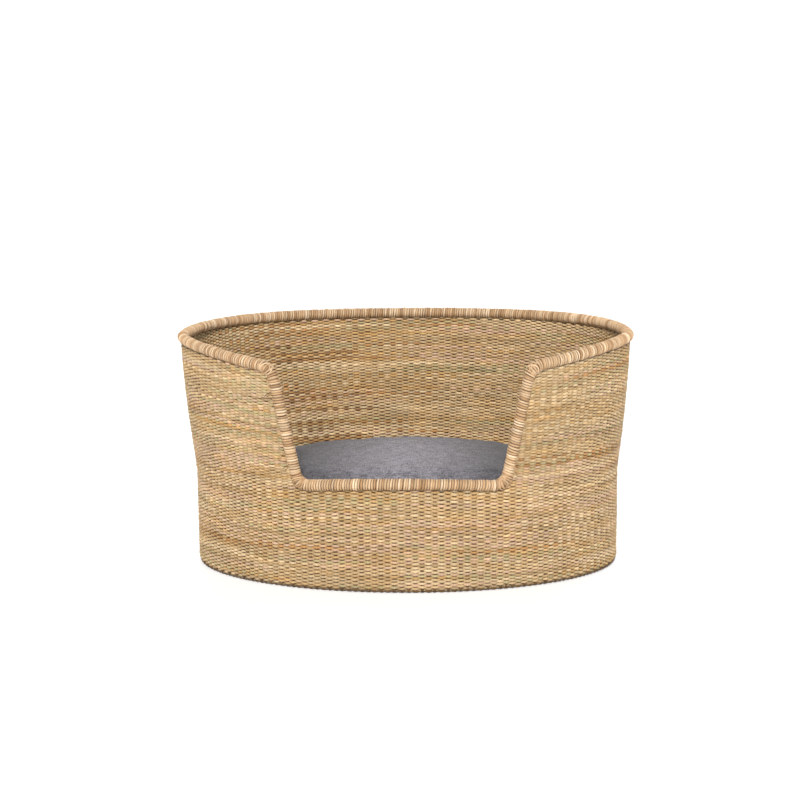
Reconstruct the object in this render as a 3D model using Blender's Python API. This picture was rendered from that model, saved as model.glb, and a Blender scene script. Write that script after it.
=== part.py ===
"""Oval wicker pet bed basket with a high back, a low front sill and a lift-out zipped cushion.

Metres, +Z up. The origin is at the middle of the footprint on the surface the basket stands on,
the front opening faces -Y and the long side runs along X.
"""

import math

import bpy
import numpy as np
from mathutils import Vector

# Basket plan at the floor and at the rim, measured on the weave's middle surface.
BASE_HALF_WIDTH = 0.282
BASE_HALF_DEPTH = 0.187
FLARE_ACROSS = 0.011  # how far the rim stands out beyond the floor at each end
FLARE_ALONG = 0.0105  # the same at the front and the back
WIDEST_AHEAD = 0.041  # how far the rim's widest line lies in front of its middle
BASE_ROUNDNESS = 2.0  # exponent of the plan's superellipse
RIM_BACK_ROUNDNESS = 2.44
RIM_FRONT_ROUNDNESS = 1.8

# Basket side view.
FLARE_START = 0.128  # the wall is upright up to here
RIM_HEIGHT = 0.310  # border rod's centre at the middle of the rim's depth
FLARE_EASE = 1.57
RIM_BACK_SLOPE = 0.022  # rise of the rim towards the back, metres per metre
RIM_FRONT_DIP = 0.037
DIP_REACH = 0.85  # the dip is full this share of the base's half depth ahead of the widest line

# Front opening, on the border rod's centre line.
SILL_HALF_WIDTH = 0.130
OPENING_LEAN = 0.0316  # how much further out each side of the opening is at the rim
SILL_HEIGHT = 0.134
SILL_ARCH = 0.006
CORNER_RADIUS = 0.016

# Weave and border.
WEAVE_THICKNESS = 0.007
BASE_THICKNESS = 0.007
BASE_CLEARANCE = 0.0010  # from the floor's edge to the wall
HOOP_RADIUS = 0.003
ROD_RADIUS = 0.0045
GAP = 0.0003  # between neighbours that touch
WRAP_CLEARANCE = 0.0006  # from the rod to the twine round it
TWINE_THICKNESS = 0.0021
WRAP_BORE = ROD_RADIUS + WRAP_CLEARANCE
WRAP_RADIUS = WRAP_BORE + TWINE_THICKNESS
TIE_BULGE = 0.0010  # how far a corner tie stands out over the wraps beside it
TIE_RADIUS = WRAP_RADIUS + TIE_BULGE
TIE_LENGTH = 0.026
SLOT_CLEARANCE = 0.0005  # each side of the weave, inside a wrap's slot
EDGE_CLEARANCE = 0.0010  # from the weave's edge to the rod

# Cushion.
CUSHION_CLEARANCE = 0.0055  # from the cushion to the base hoop
BAND_HEIGHT = 0.112
CROWN_HEIGHT = 0.018
COVER_THICKNESS = 0.0012
SHOULDERS = (1.0, 0.97, 0.89, 0.7, 0.35)  # where the crown's rings lie, as shares of its plan

# Zip, on a circular arc in the middle of the cushion's back.
ZIP_RISE = 0.045  # from the cushion's underside to the zip's line
ZIP_PANEL_HALF_LENGTH = 0.1733  # lengths along the arc, from its middle
CHAIN_HALF_LENGTH = 0.1553
STOP_PLACE = 0.1517
SLIDER_PLACE = 0.1444
COIL_WIDTH = 0.0014
COIL_DEPTH = 0.0016
TAPE_WIDTH = 0.0095
TAPE_THICKNESS = 0.0006
SLIDER_HALF_LENGTH = 0.0050
SLIDER_HALF_WIDTH = 0.0042
SLIDER_THICKNESS = 0.0013
SLIDER_CLEARANCE = 0.0008  # from the slider to the panels' edges
PANEL_OPENING = SLIDER_HALF_WIDTH + SLIDER_CLEARANCE  # from the zip's line to a panel's edge
BAIL_HEIGHT = 0.0034
BAIL_HALF_LENGTH = 0.0026
BAIL_BAR = 0.0009
BAIL_HALF_WIDTH = 0.0011
PULL_LENGTH = 0.021
PULL_HALF_WIDTH = 0.0032
PULL_THICKNESS = 0.0011
PULL_EYE_HALF_WIDTH = BAIL_HALF_WIDTH + 2.0 * GAP
PULL_EYE_LENGTH = BAIL_HALF_LENGTH + 0.0019
STOP_LENGTH = 0.0024
STOP_HALF_WIDTH = 0.0022
STOP_THICKNESS = 0.0012

# Mesh fineness.
PLAN_SAMPLES = 2880
PLAN_COLUMNS = 72
WALL_ROWS = 7
UPRIGHT_ROWS = 3  # of those rows, the ones up to the start of the flare
CORNER_POINTS = 5
SIDE_POINTS = 6
ARC_POINTS = 20
WRAP_SEGMENTS = 8
BORE_SEGMENTS = 6
ROD_SEGMENTS = 6
SLOPE_STEP = 0.0005  # finite step for surface normals


def clear_scene():
    for old in list(bpy.data.objects):
        bpy.data.objects.remove(old, do_unlink=True)


def material(name, colour, roughness, metallic=0.0):
    made = bpy.data.materials.new(name)
    made.use_nodes = True
    shader = made.node_tree.nodes["Principled BSDF"]
    shader.inputs["Base Color"].default_value = (*colour, 1.0)
    shader.inputs["Roughness"].default_value = roughness
    shader.inputs["Metallic"].default_value = metallic
    return made


def facing_out(points, faces):
    """The faces, turned round if the closed surface they make is inside out."""
    corners = np.array([tuple(point) for point in points], float)
    volume = 0.0
    for face in faces:
        first = corners[face[0]]
        for second, third in zip(face[1:-1], face[2:]):
            volume += np.dot(first, np.cross(corners[second], corners[third]))
    return faces if volume > 0.0 else [tuple(reversed(face)) for face in faces]


def add_object(name, points, faces, look, smooth=True):
    mesh = bpy.data.meshes.new(name)
    faces = facing_out(points, faces)
    mesh.from_pydata([tuple(map(float, point)) for point in points], [], faces)
    if smooth:
        mesh.shade_smooth()
        mesh.set_sharp_from_angle(angle=math.radians(40.0))
    mesh.materials.append(look)
    made = bpy.data.objects.new(name, mesh)
    bpy.context.scene.collection.objects.link(made)
    return made


def skinned(rings, closes=False):
    """Points and faces of a tube through the rings, with end caps unless it closes on itself."""
    count = len(rings[0])
    points = [point for ring in rings for point in ring]
    faces = []
    for i in range(len(rings) if closes else len(rings) - 1):
        here, there = i * count, (i + 1) % len(rings) * count
        for j in range(count):
            k = (j + 1) % count
            faces.append((here + j, here + k, there + k, there + j))
    if not closes:
        faces.append(tuple(range(count - 1, -1, -1)))
        faces.append(tuple((len(rings) - 1) * count + j for j in range(count)))
    return points, faces


# ---------------------------------------------------------------- basket surface


def flare(z):
    """Share of the flare reached at height z: 0 on the upright wall, 1 at the rim."""
    climbed = min(max((z - FLARE_START) / (RIM_HEIGHT - FLARE_START), 0.0), 1.0)
    return 1.0 - (1.0 - climbed) ** FLARE_EASE


def plan_point(theta, z):
    """Point of the weave's middle surface at plan angle theta, before centring."""
    share = flare(z)
    half_width = BASE_HALF_WIDTH + share * FLARE_ACROSS
    half_depth = BASE_HALF_DEPTH + share * FLARE_ALONG
    ahead = share * WIDEST_AHEAD
    front = math.sin(theta) < 0.0
    rim_roundness = RIM_FRONT_ROUNDNESS if front else RIM_BACK_ROUNDNESS
    power = 2.0 / (BASE_ROUNDNESS + share * (rim_roundness - BASE_ROUNDNESS))
    depth = half_depth - ahead if front else half_depth + ahead
    across, along = math.cos(theta), math.sin(theta)
    x = half_width * math.copysign(abs(across) ** power, across)
    return x, depth * math.copysign(abs(along) ** power, along) - ahead


class Outline:
    """The weave's plan at one height, read by the share of its length from the front's middle."""

    kept = {}

    def __init__(self, z):
        angles = -0.5 * math.pi + 2.0 * math.pi * np.arange(PLAN_SAMPLES + 1) / PLAN_SAMPLES
        self.points = np.array([plan_point(angle, z) for angle in angles])
        steps = np.hypot(*np.diff(self.points, axis=0).T)
        self.shares = np.concatenate([[0.0], np.cumsum(steps)]) / steps.sum()

    @classmethod
    def at(cls, z):
        key = round(z, 6)
        if key not in cls.kept:
            cls.kept[key] = cls(key)
        return cls.kept[key]

    def point(self, share):
        share = share % 1.0
        return tuple(np.interp(share, self.shares, self.points[:, i]) for i in (0, 1))

    def share_at_front(self, x):
        """Share at which the front of the plan reaches x."""
        quarter = PLAN_SAMPLES // 4
        ahead = slice(0, quarter + 1)
        share = float(np.interp(abs(x), self.points[ahead, 0], self.shares[ahead]))
        return share if x >= 0.0 else 1.0 - share


def centring():
    """Shift along Y that puts the origin at the middle of the footprint's box."""
    front_reach = -Outline.at(SILL_HEIGHT + SILL_ARCH).point(0.0)[1] + WRAP_RADIUS
    back_reach = Outline.at(RIM_HEIGHT).point(0.5)[1] + WRAP_RADIUS
    return 0.5 * (front_reach - back_reach)


CENTRE_Y = centring()


def surface(share, z):
    x, y = Outline.at(z).point(share)
    return Vector((x, y + CENTRE_Y, z))


def outward(share, z):
    """Unit normal of the weave's middle surface, away from the inside."""
    around = surface(share + SLOPE_STEP, z) - surface(share - SLOPE_STEP, z)
    up = surface(share, z + SLOPE_STEP) - surface(share, max(z - SLOPE_STEP, 0.0))
    return around.cross(up).normalized()


def rim_z(share):
    """Height of the border rod's centre along the rim."""
    y = Outline.at(RIM_HEIGHT).point(share)[1]
    ahead = (-WIDEST_AHEAD - y) / (DIP_REACH * BASE_HALF_DEPTH)
    dip = RIM_FRONT_DIP * min(max(ahead, 0.0), 1.0) ** 2
    return RIM_HEIGHT + RIM_BACK_SLOPE * y - dip


# ---------------------------------------------------------------- border path


def sill_z(x):
    return SILL_HEIGHT + SILL_ARCH * (1.0 - (x / SILL_HALF_WIDTH) ** 2)


def bend(before, corner, after):
    """Points of a rounded corner in the x-z plane, from the leg before it to the leg after it."""
    start = corner + (before - corner).normalized() * CORNER_RADIUS
    end = corner + (after - corner).normalized() * CORNER_RADIUS
    shares = [i / CORNER_POINTS for i in range(CORNER_POINTS + 1)]
    return [start * (1 - t) ** 2 + corner * 2 * t * (1 - t) + end * t**2 for t in shares]


def right_side_of_opening():
    """The border's x-z points from the sill's right end, round both corners, to the rim."""
    top_half_width = SILL_HALF_WIDTH + OPENING_LEAN
    corner_share = Outline.at(RIM_HEIGHT).share_at_front(top_half_width)
    low = Vector((SILL_HALF_WIDTH, SILL_HEIGHT))
    high = Vector((top_half_width, rim_z(corner_share)))
    further = corner_share + 1.0 / PLAN_COLUMNS
    on_rim = Vector((Outline.at(RIM_HEIGHT).point(further)[0], rim_z(further)))
    on_sill = Vector((low.x - CORNER_RADIUS, sill_z(low.x - CORNER_RADIUS)))
    lower, upper = bend(on_sill, low, high), bend(low, high, on_rim)
    straight = [lower[-1].lerp(upper[0], i / SIDE_POINTS) for i in range(1, SIDE_POINTS)]
    return lower, straight, upper


class Border:
    """The closed loop that the border rod follows, from the sill's middle anticlockwise from above.

    places holds (share, z) on the weave, and along the distance from the start of the loop.
    """

    def __init__(self):
        lower, straight, upper = right_side_of_opening()
        right = [self.on_wall(point) for point in lower + straight + upper]
        columns = [i / PLAN_COLUMNS for i in range(PLAN_COLUMNS)]
        spare = 0.4 / PLAN_COLUMNS
        sill = [(u, sill_z(Outline.at(SILL_HEIGHT).point(u)[0])) for u in columns
                if u < right[0][0] - spare]
        rim = [(u, rim_z(u)) for u in columns if right[-1][0] + spare < u < 1.0 - right[-1][0] - spare]
        left = [(1.0 - u, z) for u, z in reversed(right)]
        other_sill = [(1.0 - u, z) for u, z in reversed(sill[1:])]
        self.places = sill + right + rim + left + other_sill
        self.points = [surface(u, z) for u, z in self.places]
        self.normals = [outward(u, z) for u, z in self.places]
        count = len(self.points)
        self.inward = []  # into the weave, along its surface
        for i in range(count):
            ahead = self.points[(i + 1) % count] - self.points[i - 1]
            self.inward.append(ahead.cross(self.normals[i]).normalized())
        self.along = [0.0]
        for i in range(count):
            step = (self.points[(i + 1) % count] - self.points[i]).length
            self.along.append(self.along[-1] + step)
        lower_middle = len(sill) + CORNER_POINTS // 2
        upper_middle = len(sill) + len(lower) + len(straight) + CORNER_POINTS // 2
        half = 0.5 * self.along[1]
        self.corners = {
            "lower_right": self.along[lower_middle] + half,
            "upper_right": self.along[upper_middle] + half,
        }
        whole = self.along[-1]
        self.corners["upper_left"] = whole - self.corners["upper_right"]
        self.corners["lower_left"] = whole - self.corners["lower_right"]

    @staticmethod
    def on_wall(point):
        return Outline.at(point.y).share_at_front(point.x), point.y

    def frame(self, distance):
        """Point, outward direction and direction into the weave at a distance along the loop."""
        distance = distance % self.along[-1]
        i = int(np.searchsorted(self.along, distance, side="right")) - 1
        i = min(i, len(self.points) - 1)
        j = (i + 1) % len(self.points)
        t = (distance - self.along[i]) / (self.along[i + 1] - self.along[i])
        return (
            self.points[i].lerp(self.points[j], t),
            self.normals[i].lerp(self.normals[j], t).normalized(),
            self.inward[i].lerp(self.inward[j], t).normalized(),
        )

    def stretch(self, start, end):
        """Frames from start to end along the loop, with the loop's own points between them."""
        whole = self.along[-1]
        turns = [0.0, whole] if end > whole else [0.0]
        between = [d + turn for turn in turns for d in self.along[:-1]
                   if start + GAP < d + turn < end - GAP]
        return [self.frame(d) for d in [start, *between, end]]

    def loop(self):
        return list(zip(self.points, self.normals, self.inward))


BORDER = Border()


def swept(frames, section, closes=False):
    """A section of (outward, into the weave) points carried along the border's frames."""
    rings = [[point + normal * a + inward * b for a, b in section] for point, normal, inward in frames]
    return skinned(rings, closes)


def round_section(radius, segments):
    angles = [2.0 * math.pi * i / segments for i in range(segments)]
    return [(radius * math.sin(angle), radius * math.cos(angle)) for angle in angles]


def wrap_section(radius):
    """A round sleeve with a slot towards the weave, which the weave's edge stands in."""
    slot = 0.5 * WEAVE_THICKNESS + SLOT_CLEARANCE

    def arc(size, segments):
        first = math.asin(slot / size)
        angles = [first + (2.0 * math.pi - 2.0 * first) * i / segments for i in range(segments + 1)]
        return [(size * math.sin(angle), size * math.cos(angle)) for angle in angles]

    return arc(radius, WRAP_SEGMENTS) + list(reversed(arc(WRAP_BORE, BORE_SEGMENTS)))


# ---------------------------------------------------------------- basket pieces


def make_wall(look):
    """Closed shell of the wall, cut to the opening, its top edge just inside the border."""
    reach = ROD_RADIUS + EDGE_CLEARANCE
    length = (Outline.at(SILL_HEIGHT).points[1:] - Outline.at(SILL_HEIGHT).points[:-1])
    length = float(np.hypot(*length.T).sum())
    rings = []
    for (share, z), inward in zip(BORDER.places, BORDER.inward):
        around = surface(share + SLOPE_STEP, z) - surface(share - SLOPE_STEP, z)
        top_share = share + inward.dot(around.normalized()) * reach / length
        top = z + inward.z * reach
        bend_z = min(FLARE_START, 0.9 * top)
        heights = [bend_z * i / (UPRIGHT_ROWS - 1) for i in range(UPRIGHT_ROWS)]
        upper_rows = WALL_ROWS - UPRIGHT_ROWS
        heights += [bend_z + (top - bend_z) * (i + 1) / upper_rows for i in range(upper_rows)]
        half = 0.5 * WEAVE_THICKNESS
        outer = [surface(top_share, h) + outward(top_share, h) * half for h in heights]
        inner = [surface(top_share, h) - outward(top_share, h) * half for h in heights]
        outer[0].z = inner[0].z = 0.0
        rings.append(outer + list(reversed(inner)))
    add_object("wall_weave", *skinned(rings, closes=True), look)


def make_border(rod_look, wrap_look, tie_look):
    add_object("border_rod", *swept(BORDER.loop(), round_section(ROD_RADIUS, ROD_SEGMENTS), True), rod_look)
    half = 0.5 * TIE_LENGTH
    whole = BORDER.along[-1]
    corners = BORDER.corners
    for name, middle in corners.items():
        frames = BORDER.stretch(middle - half, middle + half)
        add_object(f"{name}_tie", *swept(frames, wrap_section(TIE_RADIUS)), tie_look)
    clear = half + GAP
    stretches = {
        "right_side_wrap": (corners["lower_right"] + clear, corners["upper_right"] - clear),
        "rim_wrap": (corners["upper_right"] + clear, corners["upper_left"] - clear),
        "left_side_wrap": (corners["upper_left"] + clear, corners["lower_left"] - clear),
        "sill_wrap": (corners["lower_left"] + clear, corners["lower_right"] + whole - clear),
    }
    for name, (start, end) in stretches.items():
        add_object(name, *swept(BORDER.stretch(start, end), wrap_section(WRAP_RADIUS)), wrap_look)


def oval(inset, z, count=PLAN_COLUMNS):
    """Ring of points on the floor's plan, moved in from the weave's middle surface."""
    ring = []
    for i in range(count):
        theta = 2.0 * math.pi * i / count
        x = (BASE_HALF_WIDTH - inset) * math.cos(theta)
        ring.append(Vector((x, CENTRE_Y + (BASE_HALF_DEPTH - inset) * math.sin(theta), z)))
    return ring


def make_floor(look):
    inset = 0.5 * WEAVE_THICKNESS + BASE_CLEARANCE
    add_object("base_weave", *skinned([oval(inset, 0.0), oval(inset, BASE_THICKNESS)]), look)


HOOP_INSET = 0.5 * WEAVE_THICKNESS + BASE_CLEARANCE + HOOP_RADIUS


def make_hoop(look):
    """Oval rod in the corner between the floor and the wall."""
    middle = BASE_THICKNESS + GAP + HOOP_RADIUS
    ring_sizes = [(HOOP_INSET + a, middle + b) for a, b in round_section(HOOP_RADIUS, ROD_SEGMENTS)]
    ovals = [oval(size, z) for size, z in ring_sizes]
    rings = [[ring[i] for ring in ovals] for i in range(PLAN_COLUMNS)]
    add_object("base_hoop", *skinned(rings, closes=True), look)


# ---------------------------------------------------------------- cushion

CUSHION_INSET = HOOP_INSET + HOOP_RADIUS + CUSHION_CLEARANCE
CORE_INSET = COVER_THICKNESS + COIL_DEPTH + GAP  # from the cover's outer face to the filling
CUSHION_BOTTOM = BASE_THICKNESS + GAP
CUSHION_HALF_WIDTH = BASE_HALF_WIDTH - CUSHION_INSET
CUSHION_HALF_DEPTH = BASE_HALF_DEPTH - CUSHION_INSET
BAND_BOTTOM = CUSHION_BOTTOM + COVER_THICKNESS + GAP
BAND_TOP = CUSHION_BOTTOM + BAND_HEIGHT
ZIP_Z = CUSHION_BOTTOM + ZIP_RISE
ZIP_RADIUS = CUSHION_HALF_WIDTH**2 / CUSHION_HALF_DEPTH  # the oval's own bend at the back
ZIP_CENTRE_Y = CENTRE_Y + CUSHION_HALF_DEPTH - ZIP_RADIUS
PANEL_HALF_ANGLE = ZIP_PANEL_HALF_LENGTH / ZIP_RADIUS
PANEL_HALF_WIDTH = ZIP_RADIUS * math.sin(PANEL_HALF_ANGLE)
CHAIN_HALF_ANGLE = CHAIN_HALF_LENGTH / ZIP_RADIUS
STOP_ANGLE = STOP_PLACE / ZIP_RADIUS
SLIDER_ANGLE = SLIDER_PLACE / ZIP_RADIUS


def crown_z(share, drop):
    """Height of the crown at a share of its plan, measured drop below the cover's face."""
    return BAND_TOP + CROWN_HEIGHT * (1.0 - share**4) - drop


def crown(inset, drop):
    """Rings of the cushion's top from its edge inwards."""
    angles = [2.0 * math.pi * i / PLAN_COLUMNS for i in range(PLAN_COLUMNS)]
    rings = []
    for share in SHOULDERS:
        across = (CUSHION_HALF_WIDTH - inset) * share
        along = (CUSHION_HALF_DEPTH - inset) * share
        z = crown_z(share, drop)
        rings.append([Vector((across * math.cos(a), CENTRE_Y + along * math.sin(a), z)) for a in angles])
    return rings


def make_core(look):
    bottom = oval(CUSHION_INSET + CORE_INSET, BAND_BOTTOM)
    rings = [bottom, *crown(CORE_INSET, COVER_THICKNESS + GAP)]
    add_object("cushion_core", *skinned(rings), look)


def make_cover_top(look):
    """Crowned panel, open underneath, that stands on the side band."""
    outside = crown(0.0, 0.0)
    inside = crown(CORE_INSET - GAP, COVER_THICKNESS)
    outside[0] = oval(CUSHION_INSET, BAND_TOP)
    inside[0] = oval(CUSHION_INSET + CORE_INSET - GAP, BAND_TOP)
    add_object("cover_top_panel", *skinned(list(reversed(outside)) + inside), look)


def make_cover_bottom(look):
    low = oval(CUSHION_INSET, CUSHION_BOTTOM)
    high = oval(CUSHION_INSET, CUSHION_BOTTOM + COVER_THICKNESS)
    add_object("cover_bottom_panel", *skinned([low, high]), look)


def make_band(look):
    """Side band round the front and sides, up to the zip panels."""
    edge = math.acos((PANEL_HALF_WIDTH + GAP) / CUSHION_HALF_WIDTH)
    start, sweep = math.pi - edge, math.pi + 2.0 * edge
    top = BAND_TOP - GAP
    section = ((0.0, BAND_BOTTOM), (COVER_THICKNESS, BAND_BOTTOM), (COVER_THICKNESS, top), (0.0, top))
    rings = []
    for i in range(PLAN_COLUMNS + 1):
        angle = start + sweep * i / PLAN_COLUMNS
        ring = []
        for inset, z in section:
            x = (CUSHION_HALF_WIDTH - inset) * math.cos(angle)
            ring.append(Vector((x, CENTRE_Y + (CUSHION_HALF_DEPTH - inset) * math.sin(angle), z)))
        rings.append(ring)
    add_object("cover_side_band", *skinned(rings), look)


def zip_point(angle, depth, z):
    """Point behind the zip arc's outer face, at an angle anticlockwise from the back's middle."""
    radius = ZIP_RADIUS - depth
    return Vector((-radius * math.sin(angle), ZIP_CENTRE_Y + radius * math.cos(angle), z))


def zip_strip(name, angles, depths, heights, look):
    """Strip along the zip's arc between two angles, two depths and two heights."""
    points = max(2, round(ARC_POINTS * abs(angles[1] - angles[0]) / (2.0 * PANEL_HALF_ANGLE)))
    rings = []
    for i in range(points + 1):
        angle = angles[0] + (angles[1] - angles[0]) * i / points
        corners = ((0, 0), (1, 0), (1, 1), (0, 1))
        rings.append([zip_point(angle, depths[a], heights[b]) for a, b in corners])
    add_object(name, *skinned(rings), look, smooth=False)


def make_zip_strips(cloth, tape, coil):
    panel = (-PANEL_HALF_ANGLE, PANEL_HALF_ANGLE)
    chain = (-CHAIN_HALF_ANGLE, CHAIN_HALF_ANGLE)
    face = (0.0, COVER_THICKNESS)
    behind = (COVER_THICKNESS + GAP, COVER_THICKNESS + GAP + TAPE_THICKNESS)
    teeth = (COVER_THICKNESS - GAP, COVER_THICKNESS - GAP + COIL_DEPTH)
    split = 0.5 * GAP
    coil_edge = split + COIL_WIDTH
    tape_edge = coil_edge + GAP
    for name, way in (("upper", 1.0), ("lower", -1.0)):
        far_edge = BAND_TOP - GAP if way > 0 else BAND_BOTTOM
        near = ZIP_Z + way * PANEL_OPENING
        zip_strip(f"zip_panel_{name}", panel, face, sorted((near, far_edge)), cloth)
        tape_heights = sorted((ZIP_Z + way * tape_edge, ZIP_Z + way * (tape_edge + TAPE_WIDTH)))
        zip_strip(f"zip_tape_{name}", chain, behind, tape_heights, tape)
        coil_heights = sorted((ZIP_Z + way * split, ZIP_Z + way * coil_edge))
        zip_strip(f"zip_coil_{name}", chain, teeth, coil_heights, coil)


def make_zip_stops(look):
    """Clips over both coils at the ends of the chain."""
    half = 0.5 * STOP_LENGTH / ZIP_RADIUS
    depths = (-STOP_THICKNESS, COVER_THICKNESS - 2.0 * GAP)
    heights = (ZIP_Z - STOP_HALF_WIDTH, ZIP_Z + STOP_HALF_WIDTH)
    zip_strip("zip_stop_open_end", (STOP_ANGLE - half, STOP_ANGLE + half), depths, heights, look)
    zip_strip("zip_stop_closed_end", (-STOP_ANGLE - half, half - STOP_ANGLE), depths, heights, look)


def prism(outline, low, high):
    """Points and faces of an x-y outline stood up between two heights."""
    return skinned([[Vector((x, y, z)) for x, y in outline] for z in (low, high)])


def box_outline(x_low, x_high, y_low, y_high):
    return [(x_low, y_low), (x_high, y_low), (x_high, y_high), (x_low, y_high)]


def joint_empty(name, place, turn, parent=None):
    made = bpy.data.objects.new(name, None)
    bpy.context.scene.collection.objects.link(made)
    made.parent = parent
    made.location = place
    made.rotation_euler = (0.0, 0.0, turn)
    return made


def helper(name, points, faces):
    """Object that only takes part in a Boolean."""
    made = add_object(name, points, faces, bpy.data.materials[0], smooth=False)
    made.hide_render = True
    made.display_type = "WIRE"
    return made


def combine(target, tool, operation):
    change = target.modifiers.new(tool.name, "BOOLEAN")
    change.operation = operation
    change.object = tool


SLIDER_FACE = SLIDER_THICKNESS - 2.0 * GAP  # how far the slider's plate stands out of the cover
PIVOT_OUT = SLIDER_FACE + 0.5 * BAIL_HEIGHT


def make_slider(look):
    """Plate over the coils with a bail on it; x runs along the zip and y outwards."""
    axis = joint_empty("zip_slide_axis", (0.0, ZIP_CENTRE_Y, ZIP_Z), -SLIDER_ANGLE)
    nose = 0.5 * SLIDER_HALF_WIDTH
    long, wide = SLIDER_HALF_LENGTH, SLIDER_HALF_WIDTH
    outline = [(-long, -nose), (0.0, -wide), (long, -wide), (long, wide), (0.0, wide), (-long, nose)]
    rings = [[Vector((x, y, z)) for x, z in outline] for y in (-2.0 * GAP, SLIDER_FACE)]
    plate = add_object("zip_slider", *skinned(rings), look, smooth=False)
    plate.parent = axis
    plate.location = (0.0, ZIP_RADIUS, 0.0)
    top = SLIDER_FACE + BAIL_HEIGHT
    foot = SLIDER_FACE - 0.5 * SLIDER_THICKNESS
    hole = SLIDER_FACE + BAIL_BAR * 0.5
    inner = BAIL_HALF_LENGTH - BAIL_BAR
    arch = [
        (-BAIL_HALF_LENGTH, foot), (-inner, foot), (-inner, top - BAIL_BAR), (inner, top - BAIL_BAR),
        (inner, foot), (BAIL_HALF_LENGTH, foot), (BAIL_HALF_LENGTH, hole), (inner + 0.5 * BAIL_BAR, top),
        (-inner - 0.5 * BAIL_BAR, top), (-BAIL_HALF_LENGTH, hole),
    ]
    bail = helper("slider_bail", *prism(arch, -BAIL_HALF_WIDTH, BAIL_HALF_WIDTH))
    bail.parent = axis
    bail.location = plate.location
    combine(plate, bail, "UNION")
    return axis


def make_pull(look, slide_axis):
    """Tab whose eye is threaded by the bail, lying back along the closed chain."""
    pivot = joint_empty("zip_pull_axis", (0.0, ZIP_RADIUS + PIVOT_OUT, 0.0), 0.0, slide_axis)
    bar = 0.5 * BAIL_BAR
    half = 0.5 * PULL_THICKNESS
    tab = add_object("zip_pull", *prism(box_outline(-PULL_LENGTH, bar, -half, half),
                                        -PULL_HALF_WIDTH, PULL_HALF_WIDTH), look, smooth=False)
    eye = helper("pull_eye", *prism(box_outline(-PULL_EYE_LENGTH, -bar, -2.0 * half, 2.0 * half),
                                    -PULL_EYE_HALF_WIDTH, PULL_EYE_HALF_WIDTH))
    for piece in (tab, eye):
        piece.parent = pivot
    combine(tab, eye, "DIFFERENCE")


def make_cushion(cloth, filling, tape, coil, metal):
    make_core(filling)
    make_cover_top(cloth)
    make_cover_bottom(cloth)
    make_band(cloth)
    make_zip_strips(cloth, tape, coil)
    make_zip_stops(metal)
    make_pull(metal, make_slider(metal))


def main():
    clear_scene()
    straw = material("woven_straw", (0.56, 0.40, 0.22), 0.75)
    twine = material("border_twine", (0.58, 0.42, 0.27), 0.7)
    rod = material("border_rod_cane", (0.50, 0.34, 0.18), 0.6)
    cloth = material("grey_melange_cloth", (0.30, 0.30, 0.32), 0.95)
    filling = material("cushion_filling", (0.85, 0.85, 0.83), 0.95)
    tape = material("zip_tape_cloth", (0.22, 0.22, 0.24), 0.9)
    coil = material("zip_coil_plastic", (0.20, 0.20, 0.22), 0.5)
    metal = material("zip_metal", (0.55, 0.55, 0.56), 0.35, 1.0)
    make_floor(straw)
    make_wall(straw)
    make_hoop(rod)
    make_border(rod, twine, twine)
    make_cushion(cloth, filling, tape, coil, metal)


main()
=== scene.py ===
"""Looks of an oval wicker pet bed basket: stakes, weavers, wound twine, cushion and zip.

Metres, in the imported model's frame: +Z up, the low front opening faces -Y.
"""

import math

import bpy
import numpy as np
from mathutils import Matrix, Vector
from mathutils.bvhtree import BVHTree


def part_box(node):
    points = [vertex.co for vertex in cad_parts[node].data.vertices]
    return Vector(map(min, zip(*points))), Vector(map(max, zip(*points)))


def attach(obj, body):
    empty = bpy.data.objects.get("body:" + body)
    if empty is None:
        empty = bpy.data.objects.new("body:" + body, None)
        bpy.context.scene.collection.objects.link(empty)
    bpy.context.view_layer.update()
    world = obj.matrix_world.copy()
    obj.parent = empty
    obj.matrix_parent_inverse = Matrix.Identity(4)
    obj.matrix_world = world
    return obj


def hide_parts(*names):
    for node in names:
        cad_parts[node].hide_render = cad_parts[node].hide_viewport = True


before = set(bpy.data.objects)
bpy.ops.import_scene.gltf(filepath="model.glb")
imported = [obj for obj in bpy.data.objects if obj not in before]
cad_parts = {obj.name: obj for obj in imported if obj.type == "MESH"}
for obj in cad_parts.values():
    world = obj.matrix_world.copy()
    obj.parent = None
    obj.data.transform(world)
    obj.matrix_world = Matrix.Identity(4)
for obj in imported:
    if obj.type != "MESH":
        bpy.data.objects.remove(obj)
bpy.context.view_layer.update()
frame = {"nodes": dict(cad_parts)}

# The basket's surface, as the model gives it.
BASE_HALF_WIDTH = 0.282
BASE_HALF_DEPTH = 0.187
FLARE_ACROSS = 0.011
FLARE_ALONG = 0.0105
WIDEST_AHEAD = 0.041
BASE_ROUNDNESS = 2.0
RIM_BACK_ROUNDNESS = 2.44
RIM_FRONT_ROUNDNESS = 1.8
FLARE_START = 0.128
RIM_HEIGHT = 0.310
FLARE_EASE = 1.57
RIM_BACK_SLOPE = 0.022
RIM_FRONT_DIP = 0.037
DIP_REACH = 0.85
SILL_HALF_WIDTH = 0.130
OPENING_LEAN = 0.0316
SILL_HEIGHT = 0.134
SILL_ARCH = 0.006
CORNER_RADIUS = 0.016
WRAP_RADIUS = 0.0072

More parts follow.
